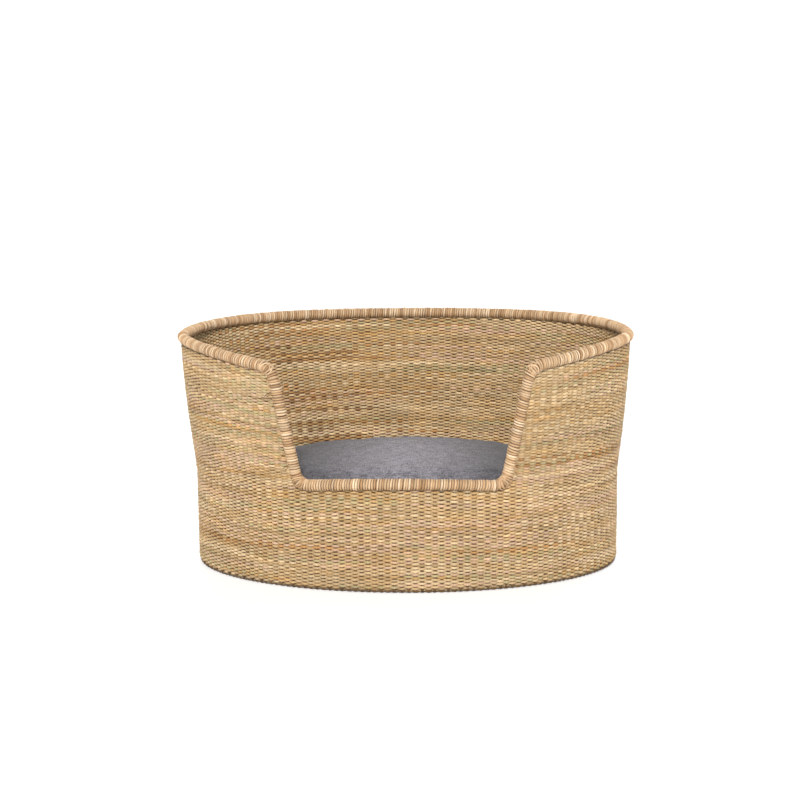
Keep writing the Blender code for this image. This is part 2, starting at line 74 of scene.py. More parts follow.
# Weaving.
STAKES = 196
STAKE_DENSITY_SWING = 0.12  # stakes stand closer at the two ends than at the front and back
STAKE_WIDE = 0.0018
STAKE_THICK = 0.0009
STAKE_FOOT = 0.0022
STAKE_POINTS = 30
WAY_ROUND = 1.5  # roughly the wall's length, to turn metres into a share of the way round
LOWER_ROWS = 62
UPPER_ROWS = 84
STEPS_PER_STAKE = 4
WEAVER_SWING = 0.0019  # how far a weaver passes outside and inside the wall's middle
WEAVER_WIDE = 0.00182  # half a weaver's height where it passes over a stake
WEAVER_SQUEEZED = 0.00145  # and between two stakes, where every row is side by side
WEAVER_THICK = 0.00095
LOWEST_WEAVER = 0.0024
UNDERCUT = 0.0045  # how far the wall turns in where it meets the floor
UNDERCUT_HEIGHT = 0.008
FOOT_SHADE_HEIGHT = 0.0075  # painted shade: the lowest rows are darkened up to this height, along the wall's foot
ROWS_PER_PIECE = 20
STAIN_WEIGHT = 0.12

# Unevenness: steps from one change to the next, and size.
STAKE_LEAN = (8, 0.0003)
ROW_DRIFT = (18, 0.00015)
ROW_WOBBLE = (4, 0.00016)
SWING_WOBBLE = (5, 0.00018)
WIDTH_WOBBLE = (6, 0.08)
WIDTH_DRIFT = (40, 0.06)
THICKNESS_WOBBLE = (8, 0.08)
TWINE_DRIFT = (20, 0.00022)
TWINE_WOBBLE = (7, 0.0002)
TWINE_LOOSENESS = (14, 0.00022)
TWINE_LUMPS = (300, 0.0002)
TWINE_SWELL = (14, 0.1)

# Twine.
TWINE_PITCH = 0.0033
TWINE_WIDE = 0.0013
TWINE_THICK = 0.0012
TWINE_LINE = 0.00615  # from the rod's centre to the twine's
UNDER_LAYER = {"line": 0.0054, "thick": 0.0009, "shade": 0.4}  # dark turns seen between the others: painted shade in the gaps between the turns
POINTS_PER_TURN = 14
TIE_LENGTH = 0.026
CROSSING_REACH = 0.0035

# Cushion.
CUSHION_HALF_WIDTH = 0.266
CUSHION_HALF_DEPTH = 0.171
CUSHION_BOTTOM = 0.0073
CUSHION_TOP = 0.148
CUSHION_COLUMNS = 96
CUSHION_FRAMES = 20
CUSHION_MOVE_LIMIT = 0.009
SEAM_Z = 0.1193
CROWN_RISE = 0.008  # the filling is fullest across the middle
CROWN_REACH = 0.18
SEAM_STITCHES = 300
ZIP_Z = 0.0523
ZIP_RADIUS = CUSHION_HALF_WIDTH**2 / CUSHION_HALF_DEPTH
ZIP_RECESS_REACH = 0.1735
COIL_TURNS = 228
METAL_BEVEL = 0.00022

CAMERA_PLACE = (0.0842, -2.1347, 0.5553)
CAMERA_TURN = 0.0434
CAMERA_DIP = 0.1577
CAMERA_ROLL = -0.0083

RNG = np.random.default_rng(11)


UP = np.array([0.0, 0.0, 1.0])


def unit(vectors):
    return vectors / (np.linalg.norm(vectors, axis=-1, keepdims=True) + 1e-12)


def linear(red, green, blue):
    """Linear colour of an 8-bit sRGB one."""
    share = np.array([red, green, blue]) / 255.0
    return np.where(share <= 0.04045, share / 12.92, ((share + 0.055) / 1.055) ** 2.4)


STRAW = np.array([
    linear(178, 152, 115), linear(169, 141, 102), linear(190, 166, 130), linear(182, 152, 124),
    linear(164, 148, 110), linear(171, 138, 92), linear(161, 121, 78), linear(138, 106, 72),
])
STRAW_WEIGHTS = np.array([0.32, 0.24, 0.2, 0.11, 0.06, 0.05, 0.015, 0.005])
OLIVE, OCHRE, RUST, BROWN, PINK = 4, 5, 6, 7, 3
TWINE = np.array([
    linear(186, 154, 118), linear(197, 168, 134), linear(177, 142, 106), linear(164, 128, 90),
    linear(210, 184, 152),
])
TWINE_WEIGHTS = np.array([0.34, 0.26, 0.2, 0.08, 0.12])


# ---- basket surface


def flare(z):
    """Share of the rim's flare that the wall has at height z."""
    climbed = np.clip((z - FLARE_START) / (RIM_HEIGHT - FLARE_START), 0.0, 1.0)
    return 1.0 - (1.0 - climbed) ** FLARE_EASE


def plan(theta, z):
    """Plan of the weave's middle surface at height z, before centring."""
    share = flare(z)
    ahead = share * WIDEST_AHEAD
    half_depth = BASE_HALF_DEPTH + share * FLARE_ALONG
    front = np.sin(theta) < 0.0
    roundness = np.where(front, RIM_FRONT_ROUNDNESS, RIM_BACK_ROUNDNESS)
    power = 2.0 / (BASE_ROUNDNESS + share * (roundness - BASE_ROUNDNESS))
    depth = np.where(front, half_depth - ahead, half_depth + ahead)
    across, along = np.cos(theta), np.sin(theta)
    x = (BASE_HALF_WIDTH + share * FLARE_ACROSS) * np.sign(across) * np.abs(across) ** power
    return x, depth * np.sign(along) * np.abs(along) ** power - ahead


PLAN_STEPS = 2880
COLUMNS = 1440
LEVEL_STEP = 0.002
LEVELS = 170


def build_grids():
    """Points and outward normals of the surface by height and share of the way round."""
    angles = np.linspace(-0.5 * math.pi, 1.5 * math.pi, PLAN_STEPS + 1)
    even = np.linspace(0.0, 1.0, COLUMNS + 1)
    rows = []
    for level in range(LEVELS):
        x, y = plan(angles, level * LEVEL_STEP)
        shares = np.concatenate([[0.0], np.cumsum(np.hypot(np.diff(x), np.diff(y)))])
        shares /= shares[-1]
        rows.append(np.stack([np.interp(even, shares, x), np.interp(even, shares, y)], axis=1))
    points = np.array(rows)
    back = points[round(RIM_HEIGHT / LEVEL_STEP), COLUMNS // 2, 1]
    front = points[round((SILL_HEIGHT + SILL_ARCH) / LEVEL_STEP), 0, 1]
    centre_y = -0.5 * (front + back)
    points[:, :, 1] += centre_y
    around = np.roll(points[:, :-1], -1, axis=1) - np.roll(points[:, :-1], 1, axis=1)
    around = np.concatenate([around, around[:, :1]], axis=1)
    up = np.gradient(points, LEVEL_STEP, axis=0)
    lift = around[..., 0] * up[..., 1] - around[..., 1] * up[..., 0]
    return points, unit(np.stack([around[..., 1], -around[..., 0], lift], axis=-1)), centre_y


POINT_GRID, NORMAL_GRID, CENTRE_Y = build_grids()


def lookup(grid, share, z):
    """What a grid holds at a share of the way round and a height."""
    column = (np.asarray(share) % 1.0) * COLUMNS
    level = np.clip(np.asarray(z) / LEVEL_STEP, 0.0, LEVELS - 1.001)
    i, j = column.astype(int) % COLUMNS, level.astype(int)
    a, b = (column - column.astype(int))[..., None], (level - j)[..., None]
    low = grid[j, i] * (1.0 - a) + grid[j, i + 1] * a
    high = grid[j + 1, i] * (1.0 - a) + grid[j + 1, i + 1] * a
    return low * (1.0 - b) + high * b


def wall(share, z):
    share, z = np.broadcast_arrays(np.asarray(share, float), np.asarray(z, float))
    return np.concatenate([lookup(POINT_GRID, share, z), z[..., None]], axis=-1)


def outward(share, z):
    share, z = np.broadcast_arrays(np.asarray(share, float), np.asarray(z, float))
    return unit(lookup(NORMAL_GRID, share, z))


def rim_z(share):
    y = wall(share, RIM_HEIGHT)[..., 1] - CENTRE_Y
    ahead = (-WIDEST_AHEAD - y) / (DIP_REACH * BASE_HALF_DEPTH)
    return RIM_HEIGHT + RIM_BACK_SLOPE * y - RIM_FRONT_DIP * np.clip(ahead, 0.0, 1.0) ** 2


def sill_z(x):
    return SILL_HEIGHT + SILL_ARCH * np.clip(1.0 - (x / SILL_HALF_WIDTH) ** 2, 0.0, 1.0)


def share_at_front(x, z):
    """Share of the way round at which the right half of the front has this x."""
    quarter = np.linspace(0.0, 0.25, 361)
    return float(np.interp(x, wall(quarter, z)[:, 0], quarter))


BEND_POINTS = 14
SIDE_POINTS = 60
RIM_POINTS = 300
CORNER_TO_RIM = 1.0 / 72  # share of the way round from the corner to the point that its bend aims at
BORDER_SMOOTHINGS = 6


def bend(before, corner, after):
    """A corner of the opening, rounded."""
    start = corner + unit(before - corner) * CORNER_RADIUS
    end = corner + unit(after - corner) * CORNER_RADIUS
    t = np.linspace(0.0, 1.0, BEND_POINTS)[:, None]
    return start * (1 - t) ** 2 + corner * 2 * t * (1 - t) + end * t**2


def right_half_of_border():
    """(share, z) from the sill's middle to the back's, those of the side, and the corners' rows."""
    top_x = SILL_HALF_WIDTH + OPENING_LEAN
    low = np.array([SILL_HALF_WIDTH, SILL_HEIGHT])
    corner_share = share_at_front(top_x, RIM_HEIGHT)
    high = np.array([top_x, float(rim_z(corner_share))])
    further = corner_share + CORNER_TO_RIM
    on_rim = np.array([float(wall(further, RIM_HEIGHT)[0]), float(rim_z(further))])
    sill_x = SILL_HALF_WIDTH - CORNER_RADIUS
    lower, upper = bend(np.array([sill_x, sill_z(sill_x)]), low, high), bend(low, high, on_rim)
    xs = np.linspace(0.0, lower[0][0], SIDE_POINTS)[:-1]
    sill = np.stack([xs, sill_z(xs)], axis=1)
    t = np.linspace(0.0, 1.0, SIDE_POINTS)[1:-1, None]
    side = lower[-1] * (1 - t) + upper[0] * t
    front = np.concatenate([sill, lower, side, upper])
    places = np.array([(share_at_front(x, z), z) for x, z in front])
    shares = np.linspace(places[-1, 0] + 0.0015, 0.5, RIM_POINTS)
    rim = np.stack([shares, rim_z(shares)], axis=1)
    low_row = len(sill) + len(lower) // 2
    high_row = len(sill) + len(lower) + len(side) + len(upper) // 2
    return np.concatenate([places, rim]), places[low_row:high_row], (low_row, high_row)


HALF_BORDER, SIDE_PLACES, CORNER_ROWS = right_half_of_border()


def top_z(share):
    """Height of the border above a share of the way round."""
    nearer = np.minimum(np.asarray(share) % 1.0, 1.0 - np.asarray(share) % 1.0)
    return np.interp(nearer, HALF_BORDER[:, 0], HALF_BORDER[:, 1])


class Border:
    """The border rod's centre line as one closed loop, read by the distance along it."""

    def __init__(self):
        left = HALF_BORDER[1:-1][::-1].copy()
        left[:, 0] = 1.0 - left[:, 0]
        places = np.concatenate([HALF_BORDER, left])
        self.points = wall(places[:, 0], places[:, 1])
        normals = outward(places[:, 0], places[:, 1])
        along = np.roll(self.points, -1, axis=0) - np.roll(self.points, 1, axis=0)
        inward = unit(np.cross(along, normals))
        for _ in range(BORDER_SMOOTHINGS):
            inward = (np.roll(inward, 1, axis=0) + inward + np.roll(inward, -1, axis=0)) / 3.0
        steps = np.linalg.norm(np.roll(self.points, -1, axis=0) - self.points, axis=1)
        self.distances = np.concatenate([[0.0], np.cumsum(steps)])
        self.length = self.distances[-1]
        self.rows = [np.concatenate([a, a[:1]]) for a in (self.points, normals, inward)]
        lower, upper = (self.distances[row] for row in CORNER_ROWS)
        self.corners = {"lower_right": lower, "upper_right": upper,
                        "upper_left": self.length - upper, "lower_left": self.length - lower}

    def frames(self, distance):
        """Points, outward directions and directions into the weave at distances along the loop."""
        distance = np.asarray(distance) % self.length
        found = []
        for rows in self.rows:
            columns = [np.interp(distance, self.distances, rows[:, k]) for k in range(3)]
            found.append(np.stack(columns, axis=1))
        point, out, into = found
        out = unit(out)
        return point, out, unit(into - out * np.sum(into * out, axis=1, keepdims=True))


BORDER = Border()


# ---- strands to meshes


FIBRE_TURN = 2.4  # how far the fibre pattern changes round a strand


def added(name, data):
    """A new object in the scene."""
    made = bpy.data.objects.new(name, data)
    bpy.context.scene.collection.objects.link(made)
    return made


def fill(data, name, values):
    data.foreach_set(name, values.ravel().astype(np.float32))


class Strands:
    """Tubes gathered into one mesh, with a tint and a place on the fibre at each point.

    Each run of rings has its own cell in the texture sheet.
    """

    def __init__(self, sides=6, chunk=49, sheet_columns=8):
        self.sides, self.chunk, self.sheet_columns = sides, chunk, sheet_columns
        self.points, self.tints, self.fibres, self.quads, self.cells = [], [], [], [], []
        self.count = self.cell_count = 0

    def add(self, path, normal, wide, thick, tint, closed=False, twist=0.0, fibre_scale=90.0):
        """One tube along a path; wide and thick are half sizes, across the normal and along it."""
        path, normal = np.asarray(path, float), np.asarray(normal, float)
        rings, sides = len(path), self.sides
        if closed:
            tangent = np.roll(path, -1, axis=0) - np.roll(path, 1, axis=0)
        else:
            tangent = np.gradient(path, axis=0)
        tangent = unit(tangent)
        normal = unit(normal - tangent * np.sum(normal * tangent, axis=1, keepdims=True))
        side = np.cross(tangent, normal)
        angle = 2.0 * math.pi * (np.arange(sides) + 0.5) / sides
        wide = np.broadcast_to(wide, rings)[:, None, None]
        thick = np.broadcast_to(thick, rings)[:, None, None]
        ring = thick * np.cos(angle)[None, :, None] * normal[:, None, :]
        ring = ring + wide * np.sin(angle)[None, :, None] * side[:, None, :]
        self.points.append((path[:, None, :] + ring).reshape(-1, 3))
        tint = np.broadcast_to(tint, (rings, 3))
        self.tints.append(np.repeat(tint, sides, axis=0))
        length = np.concatenate([[0.0], np.cumsum(np.linalg.norm(np.diff(path, axis=0), axis=1))])
        turned = angle[None, :] + twist * length[:, None]
        fibre = np.stack([
            np.repeat(length[:, None] * fibre_scale + RNG.uniform(0.0, 500.0), sides, axis=1),
            FIBRE_TURN * np.cos(turned), FIBRE_TURN * np.sin(turned)], axis=-1)
        self.fibres.append(fibre.reshape(-1, 3))
        spans = rings if closed else rings - 1
        i = np.arange(spans)[:, None]
        j = np.arange(sides)[None, :]
        k, after = (j + 1) % sides, (i + 1) % rings
        quads = [i * sides + j, i * sides + k, after * sides + k, after * sides + j]
        self.quads.append(self.count + np.stack(quads, axis=-1).reshape(-1, 4))
        cell = self.cell_count + i // self.chunk
        u = (i % self.chunk) / self.chunk
        v = j / sides
        du, dv = 1.0 / self.chunk, 1.0 / sides
        corners = [(u, v), (u, v + dv), (u + du, v + dv), (u + du, v)]
        placed = []
        for a, b in corners:
            values = [np.broadcast_to(value, (spans, sides)) for value in (cell.astype(float), a, b)]
            placed.append(np.stack(values, axis=-1))
        self.cells.append(np.stack(placed, axis=2).reshape(-1, 4, 3))
        self.cell_count += -(-spans // self.chunk)
        if not closed:  # a cap on both ends
            for first, turn in ((self.count, -1), (self.count + (rings - 1) * sides, 1)):
                for m in range(1, sides - 2, 2):
                    cap = [first, first + m, first + m + 1, first + m + 2]
                    self.quads.append(np.array([cap[::turn]]))
                    self.cells.append(np.full((1, 4, 3), [self.cell_count - 1, 0.5, 0.5]))
        self.count += rings * sides

    def mesh(self, name):
        points, quads = np.concatenate(self.points), np.concatenate(self.quads)
        made = bpy.data.meshes.new(name)
        made.vertices.add(len(points))
        fill(made.vertices, "co", points)
        made.loops.add(4 * len(quads))
        made.loops.foreach_set("vertex_index", quads.ravel().astype(np.int32))
        made.polygons.add(len(quads))
        made.polygons.foreach_set("loop_start", np.arange(0, 4 * len(quads), 4, dtype=np.int32))
        made.update(calc_edges=True)
        made.validate()
        made.shade_smooth()
        tint = made.attributes.new("tint", "FLOAT_COLOR", "POINT")
        colours = np.concatenate([np.concatenate(self.tints), np.ones((len(points), 1))], axis=1)
        fill(tint.data, "color", colours)
        fibre = made.attributes.new("fibre", "FLOAT_VECTOR", "POINT")
        fill(fibre.data, "vector", np.concatenate(self.fibres))
        cells = np.concatenate(self.cells).reshape(-1, 3)
        columns = self.sheet_columns
        rows = -(-self.cell_count // columns)
        u = (cells[:, 0] % columns + 0.02 + 0.96 * cells[:, 1]) / columns  # with a margin in each cell
        v = (cells[:, 0] // columns + 0.04 + 0.92 * cells[:, 2]) / rows
        layer = made.uv_layers.new(name="OFBake")
        fill(layer.data, "uv", np.stack([u, v], axis=1))
        return made

    def piece(self, name, look, body, slot, *nodes):
        return place(added(name, self.mesh(name)), look, body, slot, *nodes)


def place(piece, look, body, slot, *nodes):
    """Gives a piece its material and body, and the CAD nodes that it stands for; slot is not used."""
    piece.data.materials.clear()
    piece.data.materials.append(look)
    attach(piece, body)
    if nodes:
        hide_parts(*nodes)
    return piece


def smooth_noise(count, spacing, size, wraps=False):
    """Seeded values that drift smoothly, one per step."""
    knots = max(4, round(count / spacing))
    values = RNG.normal(0.0, size, knots + 1)
    if wraps:
        values[-1] = values[0]
    t = np.linspace(0.0, knots, count, endpoint=not wraps)
    i = np.minimum(t.astype(int), knots - 1)
    f = t - i
    f = f * f * (3.0 - 2.0 * f)
    return values[i] * (1.0 - f) + values[i + 1] * f


# ---- materials


class Look:
    """A node material built step by step."""

    def __init__(self, name, roughness=0.7, metallic=0.0, specular=0.35):
        self.material = bpy.data.materials.new(name)
        self.material.use_nodes = True
        self.tree = self.material.node_tree
        self.shader = self.tree.nodes["Principled BSDF"]
        self.shader.inputs["Roughness"].default_value = roughness
        self.shader.inputs["Metallic"].default_value = metallic
        self.shader.inputs["Specular IOR Level"].default_value = specular

    def node(self, kind, settings=None, **inputs):
        made = self.tree.nodes.new("ShaderNode" + kind)
        for key, value in (settings or {}).items():
            setattr(made, key, value)
        for key, value in inputs.items():
            self.feed(made.inputs[key.replace("_", " ")], value)
        return made

    def feed(self, socket, value):
        if isinstance(value, bpy.types.NodeSocket):
            self.tree.links.new(value, socket)
        else:
            socket.default_value = value

    def coordinates(self):
        return self.node("TexCoord").outputs["Object"]

    def attribute(self, name, output):
        return self.node("Attribute", {"attribute_name": name}).outputs[output]

    def noise(self, vector, scale, detail=3.0, roughness=0.55):
        made = self.node("TexNoise", Vector=vector, Scale=scale, Detail=detail,
                         Roughness=roughness)
        return made.outputs["Fac"]

    def stretched(self, vector, x, y, z):
        made = self.node("Mapping", Vector=vector)
        made.inputs["Scale"].default_value = (x, y, z)
        return made.outputs["Vector"]

    def spread(self, value, low, high, start=0.25, end=0.75):
        """Maps the range from start to end onto low to high, and no further."""
        made = self.node("MapRange", Value=value, From_Min=start, From_Max=end,
                         To_Min=low, To_Max=high)
        return made.outputs["Result"]

    def math(self, operation, first, second):
        made = self.node("Math", {"operation": operation})
        self.feed(made.inputs[0], first)
        self.feed(made.inputs[1], second)
        return made.outputs[0]

    def shaded(self, colour, factor):
        """The colour times a grey factor."""
        made = self.node("VectorMath", {"operation": "SCALE"})
        self.feed(made.inputs[0], colour)
        self.feed(made.inputs["Scale"], factor)
        return made.outputs["Vector"]

    def mixed(self, share, first, second):
        made = self.node("Mix", {"data_type": "RGBA"})
        self.feed(made.inputs["Factor"], share)
        self.feed(made.inputs[6], first)
        self.feed(made.inputs[7], second)
        return made.outputs[2]

    def bump(self, height, distance, strength=1.0):
        made = self.node("Bump", Height=height, Distance=distance, Strength=strength)
        self.tree.links.new(made.outputs["Normal"], self.shader.inputs["Normal"])

    def colour(self, value):
        self.tree.links.new(value, self.shader.inputs["Base Color"])


def fibre_look(name, roughness, contrast, bump, zones=0.0):
    """Dried rush or twine: its strand's tint, painted shade included, with long fine fibres, in paler
    and duller zones.
    """
    look = Look(name, roughness=roughness, specular=0.3)
    fibre = look.attribute("fibre", "Vector")
    streaks = look.noise(fibre, 1.0, 4.0, 0.6)
    broad = look.noise(fibre, 0.22, 2.0)
    grey = look.math("MULTIPLY", look.spread(streaks, 1.0 - contrast, 1.0 + contrast),
                    look.spread(broad, 0.88, 1.12))
    tinted = look.shaded(look.attribute("tint", "Color"), grey)
    if zones:
        coordinates = look.coordinates()
        faded = look.noise(look.stretched(coordinates, 16.0, 16.0, 60.0), 1.0, 4.0, 0.6)
        warm = look.noise(look.stretched(coordinates, 22.0, 22.0, 95.0), 1.0, 3.0)
        tinted = look.shaded(tinted, look.spread(faded, 1.0 - zones, 1.0 + zones, 0.3, 0.7))
        toned = look.node("VectorMath", {"operation": "MULTIPLY"})
        look.feed(toned.inputs[0], tinted)
        look.feed(toned.inputs[1], (1.06, 0.97, 0.82))
        tinted = look.mixed(look.spread(warm, 0.0, 1.0, 0.45, 0.7), tinted, toned.outputs[0])
    look.colour(tinted)
    look.feed(look.shader.inputs["Roughness"], look.spread(streaks, roughness - 0.12, roughness + 0.1))
    look.bump(streaks, bump)
    return look.material


def cane_look():
    """Cane of the border rod, under the twine, coloured dark as painted shade for the gaps between the
    turns.
    """
    look = Look("cane", roughness=0.5, specular=0.4)
    coordinates = look.coordinates()
    streaks = look.noise(coordinates, 900.0, 3.0)
    patches = look.noise(coordinates, 45.0, 3.0)
    dark, light = (*linear(62, 42, 26), 1.0), (*linear(90, 64, 40), 1.0)
    mixed = look.mixed(look.spread(patches, 0.0, 1.0), dark, light)
    look.colour(look.shaded(mixed, look.spread(streaks, 0.8, 1.12)))
    look.bump(streaks, 0.0002, 0.6)
    return look.material


def cloth_look(name, dark, light, thread=0.0009):
    """Melange cloth: dark and light threads crossing, more of one or the other in places, and painted
    shade towards the ends.
    """
    look = Look(name, roughness=0.92, specular=0.15)
    look.shader.inputs["Sheen Weight"].default_value = 0.12
    look.shader.inputs["Sheen Roughness"].default_value = 0.6
    coordinates = look.coordinates()
    across = look.noise(look.stretched(coordinates, 90.0, 620.0, 620.0), 1.0, 3.0, 0.6)
    along = look.noise(look.stretched(coordinates, 620.0, 90.0, 620.0), 1.0, 3.0, 0.6)
    clouds = look.noise(coordinates, 55.0, 3.0)
    threads = look.math("ADD", look.spread(across, 0.0, 0.5, 0.32, 0.68),
                        look.spread(along, 0.0, 0.5, 0.32, 0.68))
    both = look.math("ADD", threads, look.spread(clouds, -0.14, 0.14))
    mixed = look.mixed(look.spread(both, 0.0, 1.0, 0.0, 1.0), (*dark, 1.0), (*light, 1.0))
    from_middle = look.stretched(coordinates, 1.0 / CUSHION_HALF_WIDTH, 0.2 / CUSHION_HALF_DEPTH, 0.0)
    reach = look.node("VectorMath", {"operation": "LENGTH"}, Vector=from_middle)
    tone_factor = look.spread(reach.outputs["Value"], 1.02, 0.38, 0.08, 0.47)  # painted shade: darker towards both ends, where the basket's tall sides shade the cushion
    shaded_ends = look.shaded(mixed, tone_factor)
    turn = 2.0 * math.pi / thread
    parts = look.node("SeparateXYZ", Vector=coordinates)
    waves = []
    for axis in ("X", "Y", "Z"):
        phase = look.math("MULTIPLY", parts.outputs[axis], turn)
        waves.append(look.node("Math", {"operation": "SINE"}))
        look.feed(waves[-1].inputs[0], phase)
    x_wave, y_wave, z_wave = (wave.outputs[0] for wave in waves)
    grid = look.math("MULTIPLY", x_wave, look.math("ADD", y_wave, z_wave))
    look.colour(look.shaded(shaded_ends, look.spread(grid, 0.93, 1.07, -1.0, 1.0)))
    look.bump(look.math("ADD", look.math("MULTIPLY", grid, 0.25), threads), 0.00035, 0.7)
    return look.material


def metal_look():
    look = Look("brushed_zinc", roughness=0.32, metallic=1.0, specular=0.5)
    coordinates = look.coordinates()
    brushing = look.noise(look.stretched(coordinates, 300.0, 4000.0, 4000.0), 1.0, 2.0)
    tone_factor = look.noise(coordinates, 700.0, 3.0)
    dull, bright = (0.42, 0.42, 0.43, 1.0), (0.6, 0.6, 0.6, 1.0)
    mixed = look.mixed(look.spread(tone_factor, 0.0, 1.0), dull, bright)
    look.colour(look.shaded(mixed, look.spread(brushing, 0.9, 1.08)))
    look.feed(look.shader.inputs["Roughness"], look.spread(brushing, 0.24, 0.44))
    look.bump(brushing, 0.00003, 0.5)
    return look.material


def tape_look():
    """Zip tape: a fine herringbone."""
    look = Look("zip_tape", roughness=0.9, specular=0.15)
    coordinates = look.coordinates()
    weave = look.node("TexWave", {"bands_direction": "DIAGONAL"}, Vector=coordinates,
                      Scale=900.0, Distortion=1.5, Detail=2.0)
    fluff = look.noise(coordinates, 1500.0, 2.0)
    grey = look.math("MULTIPLY", look.spread(weave.outputs["Fac"], 0.8, 1.15, 0.0, 1.0),
                          look.spread(fluff, 0.85, 1.15))
    look.colour(look.shaded(linear(96, 96, 102), grey))
    look.bump(weave.outputs["Fac"], 0.0001, 0.6)
    return look.material


LOOKS = {
    "rush": fibre_look("dried_rush", 0.68, 0.2, 0.00022, zones=0.12),
    "twine": fibre_look("rush_twine", 0.72, 0.26, 0.0003),
    "thread": fibre_look("sewing_thread", 0.8, 0.12, 0.0001),
    "coil": fibre_look("nylon_coil", 0.45, 0.06, 0.00002),
    "cane": cane_look(),
    "cloth": cloth_look("grey_melange", linear(47, 47, 53), linear(163, 159, 166)),
    "tape": tape_look(),
    "metal": metal_look(),
}


# ---- weaving


def stake_table():
    """Share of the way round against stake number, with small uneven steps."""
    number = np.linspace(0.0, STAKES, STAKES * 10 + 1)
    share = number / STAKES
    share = share + STAKE_DENSITY_SWING / (4.0 * math.pi) * np.sin(4.0 * math.pi * share)
    uneven = np.zeros_like(share)
    for waves in (7, 11, 17, 29):
        size = 0.1 / STAKES * RNG.uniform(0.5, 1.0) / (waves / 12.0)
        uneven += size * np.sin(2.0 * math.pi * waves * share + RNG.uniform(0.0, 6.28))
    return number, share + uneven - uneven[0]


STAKE_NUMBERS, STAKE_SHARES = stake_table()


def share_of(number):
    whole = np.floor(number / STAKES)
    return np.interp(number - whole * STAKES, STAKE_NUMBERS, STAKE_SHARES) + whole


def number_of(share):
    return np.interp(share, STAKE_SHARES, STAKE_NUMBERS)


def sill_line(share):
    """Height that the lower rows fill up to: the sill in front and its level all round."""
    point = wall(share, SILL_HEIGHT)
    return np.where(point[..., 1] < 0.0, sill_z(point[..., 0]), SILL_HEIGHT)


def row_z(level, share):
    """Height of a row: level 0 is the floor, 1 the sill's line and 2 the rim."""
    line = sill_line(share)
    if level <= 1.0:
        height = line * level
    else:
        height = line + (level - 1.0) * (rim_z(share) - line)
    turn = 2.0 * math.pi * share
    sway = 0.0010 * np.sin(6.0 * turn + 5.0 * level) + 0.0008 * np.sin(17.0 * turn - 9.0 * level + 1.0)
    sway += 0.0005 * np.sin(31.0 * turn + 14.0 * level)
    return height + sway * math.sin(0.5 * math.pi * level) ** 0.5


def side_share(level):
    """Share at which an upper row meets the right side of the opening."""
    share = SIDE_PLACES[len(SIDE_PLACES) // 2, 0]
    for _ in range(8):
        share = float(np.interp(row_z(level, np.array(share)), SIDE_PLACES[:, 1], SIDE_PLACES[:, 0]))
    return share


STAINS = (  # place, reach, straw and strength
    ((-0.23, -0.10, 0.262), 0.055, OLIVE, 4.0),
    ((-0.17, -0.16, 0.205), 0.05, OLIVE, 2.0),
    ((0.06, 0.19, 0.235), 0.06, OCHRE, 3.0),
    ((0.13, 0.18, 0.2), 0.05, RUST, 1.6),
    ((-0.12, 0.17, 0.165), 0.08, BROWN, 2.6),
    ((-0.18, 0.14, 0.19), 0.06, RUST, 2.5),
    ((0.02, 0.185, 0.165), 0.08, RUST, 1.5),
    ((0.23, -0.1, 0.15), 0.08, PINK, 2.0),
    ((-0.27, -0.05, 0.15), 0.07, PINK, 3.0),
    ((0.05, -0.19, 0.06), 0.09, PINK, 2.0),
    ((0.08, -0.19, 0.04), 0.05, RUST, 1.2),
    ((-0.19, -0.15, 0.08), 0.05, OCHRE, 2.5),
    ((0.25, -0.05, 0.24), 0.06, OLIVE, 1.5),
)


def weaver_tints(path, number):
    """Tints along one weaver, a run of stitches in each."""
    stitches = int(number[-1] - number[0]) + 2
    first = int(number[0])
    tints = np.zeros((stitches, 3))
    done = 0
    where = path[np.minimum(np.arange(stitches) * STEPS_PER_STAKE, len(path) - 1)]
    while done < stitches:
        run = int(RNG.integers(6, 34))
        weights = STRAW_WEIGHTS.copy()
        for centre, reach, straw, strength in STAINS:
            near = math.exp(-float(np.sum((where[done] - centre) ** 2)) / reach**2)
            weights[straw] += STAIN_WEIGHT * strength * near
        tint = STRAW[RNG.choice(len(STRAW), p=weights / weights.sum())]
        tints[done : done + run] = tint * RNG.uniform(0.88, 1.08)
        done += run
    tints = (np.roll(tints, 1, axis=0) + tints + np.roll(tints, -1, axis=0)) / 3.0
    tints *= RNG.uniform(0.9, 1.08, (stitches, 1))
    return tints[np.minimum(np.floor(number + 0.5).astype(int) - first, stitches - 1)]


